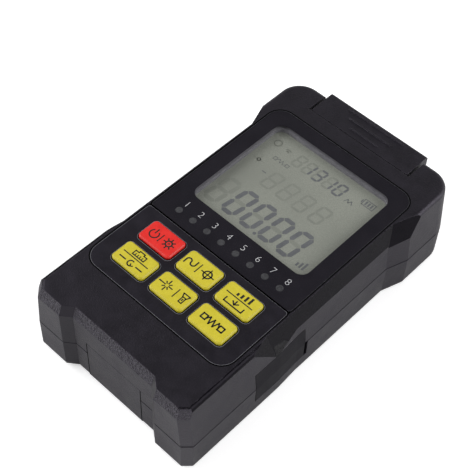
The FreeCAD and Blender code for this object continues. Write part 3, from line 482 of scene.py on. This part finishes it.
sign_path(signs, [(16.0, 33.2), (20.3, 33.2), (20.3, 35.7), (16.0, 35.7), (16.0, 33.2)])
sign_path(signs, [(15.5, 34.0), (15.5, 34.9)], 0.4)
for bar in range(3):
    sign_path(signs, [(17.1 + bar * 1.1, 33.9), (17.1 + bar * 1.1, 35.0)], 0.6)
for left in (-16.6, -11.6):
    sign_path(signs, [(left, 27.6), (left + 1.2, 27.6), (left + 1.2, 28.8), (left, 28.8),
                      (left, 27.6)], 0.2)
sign_path(signs, [(-15.2, 28.2), (-14.4, 28.9), (-13.8, 27.5), (-13.2, 28.9), (-12.6, 27.5),
                  (-11.8, 28.2)], 0.2)
for bar in range(3):
    sign_path(signs, [(17.4 + bar * 1.2, 0.8), (17.4 + bar * 1.2, 1.6 + bar * 0.8)], 0.7)
sign_path(signs, [(11.4, 30.4), (12.1, 31.6), (12.8, 30.4), (13.5, 31.6), (14.2, 30.4)], 0.3)
sign_path(signs, [(-15.3, 21.2), (-14.0, 21.2)], 0.36)
add_piece(signs, "display_signs", segment_dark, "case")
sign_ring(idle_signs, (-19.8, 33.7), 1.3)
spark = Vector((-19.5, 24.0))
sign_ring(idle_signs, spark, 0.6)
for quarter in range(4):
    turn = quarter * math.pi / 2
    out = Vector((math.cos(turn), math.sin(turn)))
    sign_path(idle_signs, [spark + out * 1.1, spark + out * 1.8])
for radius in (0.7, 1.5):
    sign_ring(idle_signs, (-15.0, 32.4), radius, 45, 90)
add_piece(idle_signs, "display_idle_signs", segment_faint, "case")

# ------------------------------------------------------------------ indicators and their figures
# Eight light guides of smoky clear acrylic stand on the board under the round windows. Their
# figures are screen printed in white on the back of the window plate.
# Smoky acrylic: a dark grey disc with a soft sheen while its lamp is off.
guide = moulded("light_guide_smoky_acrylic", "#3A3A3D", "#4A4A4D", 0.3, 0.5, 0.01, cloud=2.0)
clad(guide, *["indicator_lamp_%d" % number for number in range(1, 9)])
dot_radius, dot_thick = lamp_window - 0.02, 0.02
dots = bmesh.new()
for spot in lamp_spots:
    bmesh.ops.create_cone(dots, cap_ends=True, segments=24, radius1=dot_radius,
                          radius2=dot_radius, depth=dot_thick,
                          matrix=Matrix.Translation((spot.x, spot.y, print_z - dot_thick)))
add_piece(dots, "indicator_windows", guide, "case")
# Screen ink, off-white and dull.
white_ink = moulded("figure_screen_ink_white", "#D2D2D6", "#E0E0E2", 0.5, 0.3, 0.004)
figure_tall, capital_share = 2.45, 0.7
figure_shift, figure_rise = 0.35, 2.2
figure_slimming, figure_half_thick = -0.085, 0.005
for number, spot in enumerate(lamp_spots, start=1):
    letter = bpy.data.curves.new("figure_%d" % number, "FONT")
    letter.body = str(number)
    letter.size = figure_tall / capital_share * mm
    letter.offset = figure_slimming * mm
    letter.align_x = "CENTER"
    letter.extrude = figure_half_thick * mm
    drawn = bpy.data.objects.new("figure_curve", letter)
    mesh = bpy.data.meshes.new_from_object(drawn)
    bpy.data.objects.remove(drawn)
    corner = Vector((spot.x + figure_shift, spot.y + figure_rise, print_z + 0.01))
    mesh.transform(Matrix.Translation(corner * mm))
    mesh.materials.clear()
    mesh.materials.append(white_ink)
    piece = bpy.data.objects.new("figure_%d" % number, mesh)
    bpy.context.scene.collection.objects.link(piece)
    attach(piece, "case")

# ------------------------------------------------------------------ keypad panel and keys
# A black ABS trim plate surrounds six hard keys moulded in dyed ABS. Each cap slides in its
# opening on a tact switch, and its symbols are pad printed in black.

# Satin ABS: a finer and smoother texture than the case has.
panel_abs = moulded("panel_black_abs_satin", "#0C0B10", "#17151C", 0.38, 0.45, 0.04, edge=0.25,
                    cast=black_cast)
clad(panel_abs, "keypad_panel")

# A dark joint runs round the window and the trim plate and between them, and the narrow bevel
# along the edge of each is painted pale grey as a highlight.
panel_low, panel_high = (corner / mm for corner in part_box("keypad_panel"))


def ring(shape, low, high, inner, outer, corners):
    """Add the two outlines of a flat ring, from an inner to an outer inset in mm."""
    for inset in (inner, outer):
        step = Vector((inset, inset))
        rounded_outline(shape, low.xy + step, high.xy - step,
                        [radius - inset for radius in corners])


panel_corners, plate_corners = (5.5, 5.5, 1.3, 1.3), (1.3, 1.3, 5.5, 5.5)
trim_edge = (panel_low, panel_high, panel_corners)
window_edge = (lens_low, lens_high, plate_corners)


def edge_band(name, edge, inner, outer, drop, thick, material, slot):
    """Add a flat band along an edge, from an inner to an outer inset, its base below the face."""
    low, high, corners = edge
    band = bmesh.new()
    ring(band, low, high, inner, outer, corners)
    fill_and_thicken(band, high.z - drop, thick)
    add_piece(band, name, material, "case")


# Pale grey bands stand in for the light on the bevels: painted highlights.
bevel_abs_painted_highlight = moulded("bevel_black_abs_painted_highlight", "#6C6C72", "#7C7C82", 0.3, 0.3, 0.01, cloud=2.0)
bevel_acrylic_painted_highlight = moulded("bevel_acrylic_over_ink_painted_highlight", "#55555A", "#5F5F65", 0.3, 0.3, 0.01, cloud=2.0)
# A band's sizes are its inner and outer inset, its drop below the face and its thickness.
joint_band = (-0.36, 0.08, 0.1, 0.22)
trim_band, window_band = (0.09, 0.24, -0.005, 0.015), (0.09, 0.19, -0.005, 0.015)
edge_band("trim_joint_line", trim_edge, *joint_band, joint_black, "part_black")
edge_band("window_joint_line", window_edge, *joint_band, joint_black, "part_black")
edge_band("trim_bevel", trim_edge, *trim_band, bevel_abs_painted_highlight, "panel_black")
edge_band("window_bevel", window_edge, *window_band, bevel_acrylic_painted_highlight, "panel_black")

# Dyed ABS from a fine-textured tool: strong, even colour with a low gloss.
key_yellow = moulded("key_yellow_abs", "#C8BA28", "#D2C434", 0.45, 0.4, 0.03, cloud=3.0, edge=0.3)
key_red = moulded("key_red_abs", "#DC1E18", "#E82A22", 0.45, 0.4, 0.03, cloud=3.0, edge=0.3)
key_names = ["power", "wavelength", "store", "mode", "light", "trace"]
for name in key_names:
    clad(key_red if name == "power" else key_yellow, "button_" + name)

# A cap shows as its box without the hidden flange. Round it the opening is in shade, and the
# opening's lip is painted pale grey as a highlight.
cap_corner, flange_rim, opening_gap, lip_wide, overlap = 1.3, 0.8, 0.4, 0.15, 0.04
opening_edge = flange_rim - opening_gap
opening_corners = [cap_corner + flange_rim] * 4
panel_lift, shade_thick, lip_thick = 0.005, 0.02, 0.03
shade, lips = bmesh.new(), bmesh.new()
for name in key_names:
    low, high = (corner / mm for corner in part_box("button_" + name))
    ring(shade, low, high, opening_edge, flange_rim - overlap, opening_corners)
    ring(lips, low, high, opening_edge - lip_wide, opening_edge, opening_corners)
fill_and_thicken(shade, panel_high.z + panel_lift, shade_thick)
add_piece(shade, "key_opening_shade", joint_black, "case")
fill_and_thicken(lips, panel_high.z + panel_lift, lip_thick)
add_piece(lips, "key_opening_lips", bevel_abs_painted_highlight, "case")

ink_thick = 0.03


def stroke(ink, start, end, width=0.36):
    """Add a straight printed line between two points in mm."""
    start, end = Vector(start), Vector(end)
    run = end - start
    place = Matrix.Translation(((start + end) / 2).to_3d())
    turn = Matrix.Rotation(math.atan2(run.y, run.x), 4, "Z")
    bmesh.ops.create_cube(ink, size=1, matrix=place @ turn @ Matrix.Diagonal(
        (run.length + width * 0.6, width, ink_thick, 1)))


def strokes(ink, points, width=0.36):
    """Add printed lines that join points in mm."""
    for start, end in zip(points, points[1:]):
        stroke(ink, start, end, width)


def arc(ink, centre, radius, start=0.0, sweep=360.0, width=0.36):
    """Add a printed ring, or part of one, by turning its section about the centre."""
    stand = Matrix.Rotation(math.pi / 2, 4, "X")
    section = Matrix.Translation((radius, 0, 0)) @ stand @ Matrix.Diagonal(
        (width / 2, ink_thick / 2, 1, 1))
    place = Matrix.Translation((*centre, 0)) @ Matrix.Rotation(math.radians(start), 4, "Z")
    made = bmesh.ops.create_grid(ink, x_segments=1, y_segments=1, size=1, matrix=place @ section)
    verts = made["verts"]
    face = verts[0].link_faces[0]
    whole = sweep >= 360
    edges = face.edges[:]
    if whole:
        bmesh.ops.delete(ink, geom=[face], context="FACES_ONLY")
    geometry = verts + edges + ([] if whole else [face])
    bmesh.ops.spin(ink, geom=geometry, cent=(*centre, 0), axis=(0, 0, 1),
                   angle=math.radians(sweep), steps=28, use_merge=whole)


def power_print(ink):
    """A power sign, a bar and a lamp with rays."""
    arc(ink, (-3.0, -0.3), 1.55, 125, 290, 0.44)
    stroke(ink, (-3.0, 0.1), (-3.0, 1.8), 0.44)
    stroke(ink, (-0.4, -1.7), (-0.4, 1.4), 0.36)
    lamp = Vector((2.9, 0.0))
    arc(ink, lamp, 1.05, width=0.5)
    arc(ink, lamp, 0.3, width=0.2)
    for number in range(8):
        turn = math.radians(45 * number)
        out = Vector((math.cos(turn), math.sin(turn)))
        stroke(ink, lamp + out * 1.4, lamp + out * 2.0, 0.44)


def wavelength_print(ink):
    """A wave, a bar and a target."""
    for number in range(2):
        arc(ink, (-4.5 + number * 1.8, 0), 0.9, 180 * number, 180, 0.5)
    stroke(ink, (-5.4, 0), (-5.4, -1.4), 0.5)
    stroke(ink, (-1.8, 0), (-1.8, 1.4), 0.5)
    stroke(ink, (-0.4, -1.9), (-0.4, 1.7), 0.36)
    arc(ink, (3.2, 0), 1.35, width=0.5)
    stroke(ink, (3.2, -2.1), (3.2, 2.1), 0.4)
    stroke(ink, (0.8, 0), (5.6, 0), 0.4)


def store_print(ink):
    """Four rising levels over an arrow into a tray."""
    stroke(ink, (-5.0, 0.1), (5.0, 0.1), 0.36)
    for number, tall in enumerate((0.8, 1.3, 1.8, 2.3)):
        left = -1.6 + number * 1.5
        stroke(ink, (left, 1.0), (left, 0.8 + tall), 0.75)
    strokes(ink, [(-3.4, -1.5), (-3.4, -3.0), (3.4, -3.0), (3.4, -1.5)], 0.46)
    stroke(ink, (0, -0.7), (0, -2.1), 0.46)
    strokes(ink, [(-1.1, -1.3), (0, -2.3), (1.1, -1.3)], 0.46)


def mode_print(ink):
    """A network plug over a turning arrow between two dashes."""
    stroke(ink, (-5.0, 0.1), (5.0, 0.1), 0.36)
    strokes(ink, [(-2.3, 0.9), (-2.3, 2.5), (-1.0, 2.5), (-1.0, 3.1), (1.0, 3.1), (1.0, 2.5),
                  (2.3, 2.5), (2.3, 0.9), (-2.3, 0.9)], 0.4)
    for number in range(4):
        stroke(ink, (-1.35 + number * 0.9, 1.2), (-1.35 + number * 0.9, 1.8), 0.34)
    arc(ink, (0, -2.0), 1.05, 60, 240, 0.44)
    strokes(ink, [(1.2, -2.4), (0.55, -2.9), (0.2, -2.1)], 0.4)
    stroke(ink, (-4.6, -2.0), (-2.2, -2.0), 0.46)
    stroke(ink, (2.2, -2.0), (4.6, -2.0), 0.46)


def light_print(ink):
    """A laser spark, a bar and a torch."""
    spark = Vector((-2.6, 0))
    for number in range(8):
        turn = math.radians(45 * number)
        out = Vector((math.cos(turn), math.sin(turn)))
        reach = 2.1 if number % 2 == 0 else 1.5
        stroke(ink, spark + out * 0.7, spark + out * reach, 0.4)
    stroke(ink, (-5.7, 0), (-5.0, 0), 0.46)
    stroke(ink, (1.2, -1.8), (1.2, 1.6), 0.36)
    strokes(ink, [(2.9, 1.6), (5.5, 1.6), (4.9, 0.4), (3.5, 0.4), (2.9, 1.6)], 0.4)
    strokes(ink, [(3.6, 0.4), (3.6, -1.7), (4.8, -1.7), (4.8, 0.4)], 0.4)
    stroke(ink, (4.2, -0.9), (4.2, -0.3), 0.4)


def trace_print(ink):
    """A zigzag line between two square ends."""
    for middle in (-3.3, 3.3):
        strokes(ink, [(middle - 0.85, -0.85), (middle + 0.85, -0.85), (middle + 0.85, 0.85),
                      (middle - 0.85, 0.85), (middle - 0.85, -0.85)], 0.5)
    strokes(ink, [(-2.4, -0.2), (-1.6, 1.2), (-0.8, -1.2), (0.0, 1.2), (0.8, -1.2),
                  (1.6, 1.2), (2.4, -0.2)], 0.46)


# Two-part pad ink: brown-black and matt, thick enough to feel.
key_ink = moulded("key_pad_print_black", "#1B1A16", "#26241F", 0.5, 0.25, 0.004)
key_prints = {"power": power_print, "wavelength": wavelength_print, "store": store_print,
              "mode": mode_print, "light": light_print, "trace": trace_print}
for name, draw in key_prints.items():
    low, high = (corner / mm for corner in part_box("button_" + name))
    ink = bmesh.new()
    draw(ink)
    bmesh.ops.translate(ink, vec=((low.x + high.x) / 2, (low.y + high.y) / 2, high.z),
                        verts=ink.verts[:])
    add_piece(ink, "print_" + name, key_ink, "key_" + name)

# ------------------------------------------------------------------ socket and its cover
# The network socket is moulded in black PBT. A thermoplastic rubber cover plugs its opening,
# hinged by a thin strip at its lower end; the skin is smooth and dull.
rubber = moulded("cover_black_rubber", "#0E0D11", "#151418", 0.55, 0.6, 0.03, level=0.15, edge=0.2,
                 cast=black_cast)
clad(rubber, "side_cover")
# Black PBT: a little paler and glossier than the case, with a very fine skin.
socket_pbt = moulded("socket_black_pbt", "#131316", "#1F1F22", 0.38, 0.35, 0.01)
clad(socket_pbt, "network_jack", "port_block")


def turned_metal(name, main, pale, roughness, axis, marks):
    """Turned, ground or drawn metal, with fine marks round an axis.

    Each groove and each crest of the marks is of the given width in mm.
    """
    material, tree, shader = start_finish(name, {"Metallic": 1.0})
    place = add_node(tree, "ShaderNodeTexCoord").outputs["Object"]
    groove = math.pi / 20  # in the wave pattern's own units
    rings = add_node(tree, "ShaderNodeTexWave", {
        "Vector": place, "Scale": groove / (marks * mm), "Distortion": 0.6, "Detail": 2},
        bands_direction=axis)
    smear = add_node(tree, "ShaderNodeTexNoise", {"Vector": place, "Scale": 1 / (2.5 * mm)})
    colour = add_node(tree, "ShaderNodeMix", {
        0: smear.outputs["Fac"], 6: linear(main), 7: linear(pale)}, data_type="RGBA")
    gloss = add_node(tree, "ShaderNodeMapRange", {
        "Value": smear.outputs["Fac"], "To Min": roughness - 0.06, "To Max": roughness + 0.1})
    bump = add_node(tree, "ShaderNodeBump", {
        "Height": rings.outputs["Fac"], "Distance": 0.01 * mm, "Strength": 1})
    tree.links.new(colour.outputs[2], shader.inputs["Base Color"])
    tree.links.new(gloss.outputs[0], shader.inputs["Roughness"])
    tree.links.new(bump.outputs[0], shader.inputs["Normal"])
    return material


# Eight gold-plated wires slope down from the roof of the network socket, warm and bright.
contact_gold = turned_metal("contact_gold_plate", "#C39A45", "#D6B262", 0.22, "Y", 0.3)
jack_low, jack_high = (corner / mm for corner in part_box("network_jack"))
jack_middle = (jack_low.y + jack_high.y) / 2
wire_size, wire_pitch, wire_slope = (8.2, 0.4, 0.3), 1.02, math.radians(-14)
wire_x, wire_z = 24.2, 17.5
wires = bmesh.new()
for number in range(8):
    place = Matrix.Translation((wire_x, jack_middle + (number - 3.5) * wire_pitch, wire_z))
    bmesh.ops.create_cube(wires, size=1, matrix=place @ Matrix.Rotation(wire_slope, 4, "Y")
                          @ Matrix.Diagonal((*wire_size, 1)))
add_piece(wires, "socket_wires", contact_gold, "case")

# ------------------------------------------------------------------ ports, lamp and hinge pin
# Optical ports are turned brass, nickel plated, with fine lathe marks round them; the torch is a
# clear epoxy lamp, and the flap turns on a ground steel pin.
# Nickel over turned brass: a warm, pale metal with fine rings.
port_nickel = turned_metal("port_nickel_plate", "#B9B6AE", "#C9C7C0", 0.24, "Y", 0.3)
clad(port_nickel, "meter_port", "laser_port", "photodiode")
# Bare turned brass: yellow, and duller than the plated ports.
clad(turned_metal("laser_barrel_brass", "#B08B4A", "#C29C58", 0.3, "Y", 0.4), "laser_module")
# Ground steel: a cooler grey with a close gleam.
pin_steel = turned_metal("hinge_pin_steel", "#8F9092", "#A6A7A9", 0.22, "X", 0.4)
clad(pin_steel, "hinge_pin")
# Cast epoxy: nearly clear, with slow swirls in its gloss.
lamp_epoxy, tree, shader = start_finish("torch_lamp_epoxy", {
    "IOR": 1.53, "Transmission Weight": 0.6})
place = add_node(tree, "ShaderNodeTexCoord").outputs["Object"]
swirl = add_node(tree, "ShaderNodeTexNoise", {"Vector": place, "Scale": 1 / (1.5 * mm)})
colour = add_node(tree, "ShaderNodeMix", {
    0: swirl.outputs["Fac"], 6: linear("#D8DADB"), 7: linear("#EEF0F0")}, data_type="RGBA")
tree.links.new(colour.outputs[2], shader.inputs["Base Color"])
gloss = add_node(tree, "ShaderNodeMapRange", {
    "Value": swirl.outputs["Fac"], "To Min": 0.06, "To Max": 0.14})
tree.links.new(gloss.outputs[0], shader.inputs["Roughness"])
clad(lamp_epoxy, "torch_lamp")

# ------------------------------------------------------------------ screws
# Four self-tapping screws of zinc-plated steel, cold headed and rolled, stand in deep wells at
# the back, each with a cross recess in its head. The plating is cool, pale and softly bright.
screw_steel = turned_metal("case_screw_zinc_plate", "#9C9EA2", "#B2B4B8", 0.3, "Z", 0.5)
clad(screw_steel, *["case_screw_%d" % number for number in range(1, 5)])
# The cross recess is painted dark as shade, down in its well.
recess_painted_shade = turned_metal("screw_recess_painted_shade", "#17181A", "#232427", 0.5, "Z", 0.5)
slot_long, slot_wide, slot_thick = 2.9, 0.62, 0.04
crosses = bmesh.new()
for number in range(1, 5):
    low, high = (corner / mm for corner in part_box("case_screw_%d" % number))
    spot = Matrix.Translation(((low.x + high.x) / 2, (low.y + high.y) / 2, low.z))
    for span in ((slot_long, slot_wide), (slot_wide, slot_long)):
        bmesh.ops.create_cube(crosses, size=1,
                              matrix=spot @ Matrix.Diagonal((*span, slot_thick, 1)))
add_piece(crosses, "screw_recesses", recess_painted_shade, "case")

# ------------------------------------------------------------------ board, display holder, switches
# Glass-fibre laminate with green solder resist over the copper, a white moulded display holder
# and six tact switches. All of it is closed inside the case.
# Solder resist: glossy and green, paler along the tracks.
board, tree, shader = start_finish("board_green_resist", {"IOR": 1.52})
place = add_node(tree, "ShaderNodeTexCoord").outputs["Object"]
tracks = add_node(tree, "ShaderNodeTexBrick", {
    "Vector": place, "Scale": 1 / (4 * mm), "Color1": linear("#14502F"),
    "Color2": linear("#185A36"), "Mortar": linear("#26774A"), "Mortar Size": 0.04})
weave = add_node(tree, "ShaderNodeTexNoise", {"Vector": place, "Scale": 1 / (0.5 * mm)})
gloss = add_node(tree, "ShaderNodeMapRange", {
    "Value": weave.outputs["Fac"], "To Min": 0.25, "To Max": 0.4})
bump = add_node(tree, "ShaderNodeBump", {"Height": tracks.outputs["Fac"], "Distance": 0.03 * mm},
                invert=True)
tree.links.new(tracks.outputs["Color"], shader.inputs["Base Color"])
tree.links.new(gloss.outputs[0], shader.inputs["Roughness"])
tree.links.new(bump.outputs[0], shader.inputs["Normal"])
clad(board, "main_board")
# Moulded polycarbonate and nylon: even and satin, with hardly any grain.
clad(moulded("holder_white_pc", "#D9D9D4", "#E4E4E0", 0.5, 0.6, 0.02), "display_holder")
clad(moulded("switch_black_nylon", "#1A1A1C", "#28282A", 0.5, 0.4, 0.02),
     *["switch_" + name for name in key_names])

# ------------------------------------------------------------------ cells and contacts
# Two size AAA cells in printed plastic sleeves with plain plated ends, held between nickel-plated
# spring-steel contacts. Both sleeves are dark, and copper-coloured over the part near the head.
sleeve, tree, shader = start_finish("cell_sleeve_and_ends", {"IOR": 1.5})
place = add_node(tree, "ShaderNodeTexCoord").outputs["Object"]
along = add_node(tree, "ShaderNodeSeparateXYZ", {"Vector": place})
band_low, band_high = -24.5, -24.3
band = add_node(tree, "ShaderNodeMapRange", {
    "Value": along.outputs["Y"], "From Min": band_low * mm, "From Max": band_high * mm})
colour = add_node(tree, "ShaderNodeMix", {
    0: band.outputs[0], 6: linear("#24262A"), 7: linear("#B2793A")}, data_type="RGBA")
wrinkle = add_node(tree, "ShaderNodeTexNoise", {"Vector": place, "Scale": 1 / (6 * mm)})
gloss = add_node(tree, "ShaderNodeMapRange", {
    "Value": wrinkle.outputs["Fac"], "To Min": 0.2, "To Max": 0.34})
tree.links.new(colour.outputs[2], shader.inputs["Base Color"])
tree.links.new(gloss.outputs[0], shader.inputs["Roughness"])
clad(sleeve, "cell_1", "cell_2")
# Nickel over spring steel: a warm grey metal with a dull gleam.
contact = turned_metal("contact_nickel_plate", "#B4B2AC", "#C6C4BE", 0.28, "Z", 0.6)
clad(contact, "contact_bridge", "contact_plus", "contact_minus", "spring_1", "spring_2")

# ------------------------------------------------------------------ table and light
# The meter lies on a white table under a pale studio ceiling: one broad soft lamp above and to
# the left, a weaker one from the right, and white surroundings near the horizon.
table_half, table_drop = 2.5, 0.05 * mm
floor_shape = bmesh.new()
bmesh.ops.create_grid(floor_shape, x_segments=1, y_segments=1, size=table_half,
                      matrix=Matrix.Translation((0, 0, -table_drop)))
floor_mesh = bpy.data.meshes.new("table")
floor_shape.to_mesh(floor_mesh)
floor_shape.free()
floor = bpy.data.objects.new("table", floor_mesh)
bpy.context.scene.collection.objects.link(floor)
# Matt white paper: no gloss, and it glows to the camera alone, so that it stays white there.
table, tree, shader = start_finish("table_white_paper", {
    "Roughness": 0.9, "Specular IOR Level": 0.0, "Base Color": linear("#F4F4F4"),
    "Emission Color": (1, 1, 1, 1)})
rays = add_node(tree, "ShaderNodeLightPath")
seen = add_node(tree, "ShaderNodeMath", {0: rays.outputs["Is Camera Ray"], 1: 0.5},
                operation="MULTIPLY")
tree.links.new(seen.outputs[0], shader.inputs["Emission Strength"])
floor_mesh.materials.append(table)

world = bpy.data.worlds.new("studio")
world.use_nodes = True
bpy.context.scene.world = world
tree = world.node_tree
backdrop = tree.nodes["Background"]
rays = add_node(tree, "ShaderNodeLightPath")
toward = add_node(tree, "ShaderNodeTexCoord").outputs["Generated"]
height = add_node(tree, "ShaderNodeSeparateXYZ", {"Vector": toward})
ceiling = add_node(tree, "ShaderNodeMapRange", {
    "Value": height.outputs["Z"], "From Min": 0.2, "From Max": 0.6, "To Min": 1.0, "To Max": 0.2})
mirror = add_node(tree, "ShaderNodeMath", {
    0: rays.outputs["Is Glossy Ray"], 1: rays.outputs["Is Transmission Ray"]}, operation="MAXIMUM")
dull = add_node(tree, "ShaderNodeMix", {0: mirror.outputs[0], 2: 0.45, 3: ceiling.outputs[0]})
shown = add_node(tree, "ShaderNodeMix", {
    0: rays.outputs["Is Camera Ray"], 2: dull.outputs[0], 3: 1.0})
tree.links.new(shown.outputs[0], backdrop.inputs["Strength"])
backdrop.inputs["Color"].default_value = (1, 1, 1, 1)


def soft_lamp(name, spot, wide, watts):
    """A square soft box that faces the meter."""
    data = bpy.data.lights.new(name, "AREA")
    data.size = wide
    data.energy = watts
    lamp = bpy.data.objects.new(name, data)
    lamp.location = spot
    lamp.rotation_euler = Vector(spot).to_track_quat("Z", "Y").to_euler()
    bpy.context.scene.collection.objects.link(lamp)


soft_lamp("key_light", (-1.0, -0.6, 0.75), 1.1, 14.0)
soft_lamp("fill_light", (0.9, 0.5, 0.7), 0.8, 8.0)

bpy.context.scene.view_settings.view_transform = "Standard"
